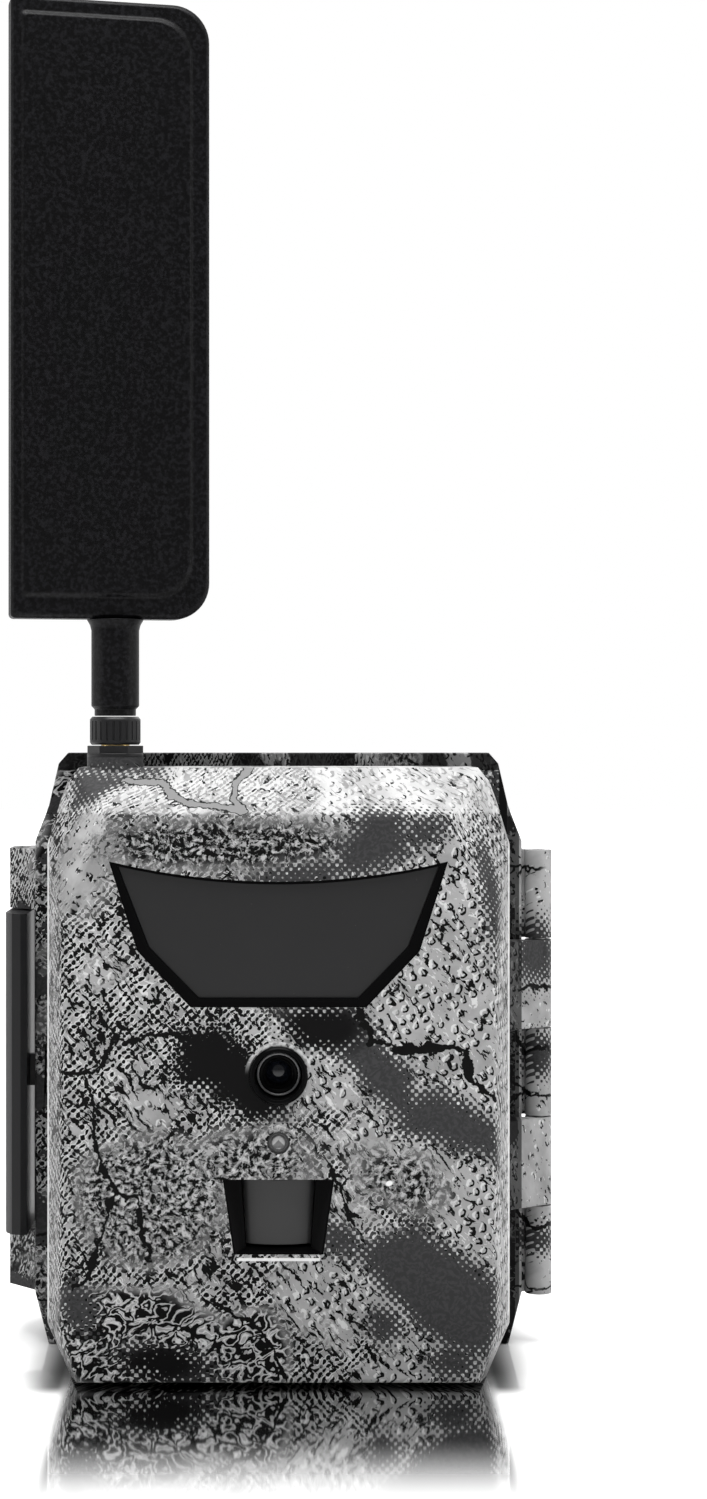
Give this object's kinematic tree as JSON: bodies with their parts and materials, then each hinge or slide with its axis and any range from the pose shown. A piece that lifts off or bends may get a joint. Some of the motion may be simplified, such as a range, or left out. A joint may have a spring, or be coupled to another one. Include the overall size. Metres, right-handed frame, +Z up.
{
  "type": "trail camera",
  "caption": "Clamshell trail camera with side latch, infrared panel, motion sensor window, tree bracket and a swivelling paddle antenna.",
  "frame": {"origin": "on the flat bottom, under the middle of the bounding box; the housings meet at Y = 0", "axes": "+Z up, the lens looks along -Y, +X to the right seen from the front, where the hinge is"},
  "size_m": [0.124, 0.0786, 0.2969],
  "materials": {
    "camo_rear": "hydro-dipped camouflage film on moulded plastic",
    "camo_front": "hydro-dipped camouflage film on moulded plastic",
    "black_plastic": "fine textured",
    "antenna_plastic": "fine spark-eroded texture",
    "bezel_black": "gloss",
    "ir_filter": "smoked filter",
    "fresnel": "translucent grey film",
    "panel_plastic": "satin",
    "key_plastic": "satin",
    "seal_rubber": "soft",
    "steel": "plated",
    "brass": "turned",
    "gold_contact": "plated",
    "board_green": "solder mask",
    "cell_wrap": "printed film",
    "glass_dark": "coated",
    "led_clear": "clear epoxy",
    "card_blue": "satin",
    "card_white": "satin",
    "cable_brown": "jacket"
  },
  "bodies": {
    "rear_body": {"rear_housing": "camo_rear", "housing_seal": "seal_rubber", "battery_tray": "black_plastic", "aa_cells": "cell_wrap", "battery_springs": "steel", "battery_contacts": "steel", "power_pads": "gold_contact", "tray_screws": "steel", "tree_bracket": "camo_rear", "bracket_screws": "steel", "tripod_insert": "brass", "hinge_pin": "steel", "latch_pin": "steel"},
    "front_body": {"front_housing": "camo_front", "ir_bezel": "bezel_black", "ir_window": "ir_filter", "ir_led_board": "board_green", "ir_leds": "led_clear", "lens_bezel": "bezel_black", "lens_barrel": "bezel_black", "lens_element": "glass_dark", "sensor_board": "board_green", "image_sensor": "black_plastic", "status_lens": "led_clear", "pir_bezel": "bezel_black", "pir_lens": "fresnel", "pir_sensor": "steel", "pir_board": "board_green", "main_board": "board_green", "cellular_module": "steel", "antenna_coax": "cable_brown", "sd_socket": "steel", "sim_socket": "steel", "inner_panel": "panel_plastic", "panel_screws": "steel", "screen_module": "steel", "screen_window": "glass_dark", "key_switches": "steel", "power_switch_body": "steel", "dc_jack": "black_plastic", "power_pins": "gold_contact", "antenna_jack": "brass", "antenna_jack_nut": "black_plastic"},
    "latch": {"latch_lever": "black_plastic"},
    "sd_card_body": {"sd_card": "card_blue"},
    "sim_card_body": {"sim_card": "card_white"},
    "up_key": {"key_up": "key_plastic"},
    "down_key": {"key_down": "key_plastic"},
    "left_key": {"key_left": "key_plastic"},
    "right_key": {"key_right": "key_plastic"},
    "ok_key": {"key_ok": "key_plastic"},
    "switch_knob": {"power_switch_knob": "key_plastic"},
    "jack_cap": {"dc_jack_cap": "seal_rubber"},
    "coupling_nut": {"antenna_coupling_nut": "black_plastic"},
    "antenna": {"antenna_stem": "antenna_plastic", "antenna_front_shell": "antenna_plastic", "antenna_back_shell": "antenna_plastic", "antenna_element": "board_green"}
  },
  "joints": [
    {"name": "front_swing", "type": "hinge", "parent": "rear_body", "child": "front_body", "pos_m": [0.059, 0.001, 0], "axis": [0, 0, 1], "range_deg": [0, 110]},
    {"name": "latch_swing", "type": "hinge", "parent": "rear_body", "child": "latch", "pos_m": [-0.059, 0.014, 0], "axis": [0, 0, -1], "range_deg": [0, 100]},
    {"name": "antenna_swivel", "type": "hinge", "parent": "front_body", "child": "antenna", "pos_m": [-0.0355, -0.023, 0.15], "axis": [0, 0, 1], "range_deg": [-180, 180]},
    {"name": "coupling_nut_spin", "type": "hinge", "parent": "front_body", "child": "coupling_nut", "pos_m": [-0.0355, -0.023, 0.139], "axis": [0, 0, 1], "continuous": true},
    {"name": "up_key_press", "type": "slide", "parent": "front_body", "child": "up_key", "axis": [0, -1, 0], "range_m": [0, 0.0008], "stiffness_N_per_m": 1500},
    {"name": "down_key_press", "type": "slide", "parent": "front_body", "child": "down_key", "axis": [0, -1, 0], "range_m": [0, 0.0008], "stiffness_N_per_m": 1500},
    {"name": "left_key_press", "type": "slide", "parent": "front_body", "child": "left_key", "axis": [0, -1, 0], "range_m": [0, 0.0008], "stiffness_N_per_m": 1500},
    {"name": "right_key_press", "type": "slide", "parent": "front_body", "child": "right_key", "axis": [0, -1, 0], "range_m": [0, 0.0008], "stiffness_N_per_m": 1500},
    {"name": "ok_key_press", "type": "slide", "parent": "front_body", "child": "ok_key", "axis": [0, -1, 0], "range_m": [0, 0.0008], "stiffness_N_per_m": 1500},
    {"name": "power_switch_slide", "type": "slide", "parent": "front_body", "child": "switch_knob", "axis": [1, 0, 0], "range_m": [-0.003, 0.003]},
    {"name": "sd_card_slide", "type": "slide", "parent": "front_body", "child": "sd_card_body", "axis": [0, 0, -1], "range_m": [0, 0.027]},
    {"name": "sim_card_slide", "type": "slide", "parent": "front_body", "child": "sim_card_body", "axis": [0, 0, -1], "range_m": [0, 0.014]},
    {"name": "jack_cap_pull", "type": "slide", "parent": "front_body", "child": "jack_cap", "axis": [0, 0, -1], "range_m": [0, 0.008]}
  ]
}
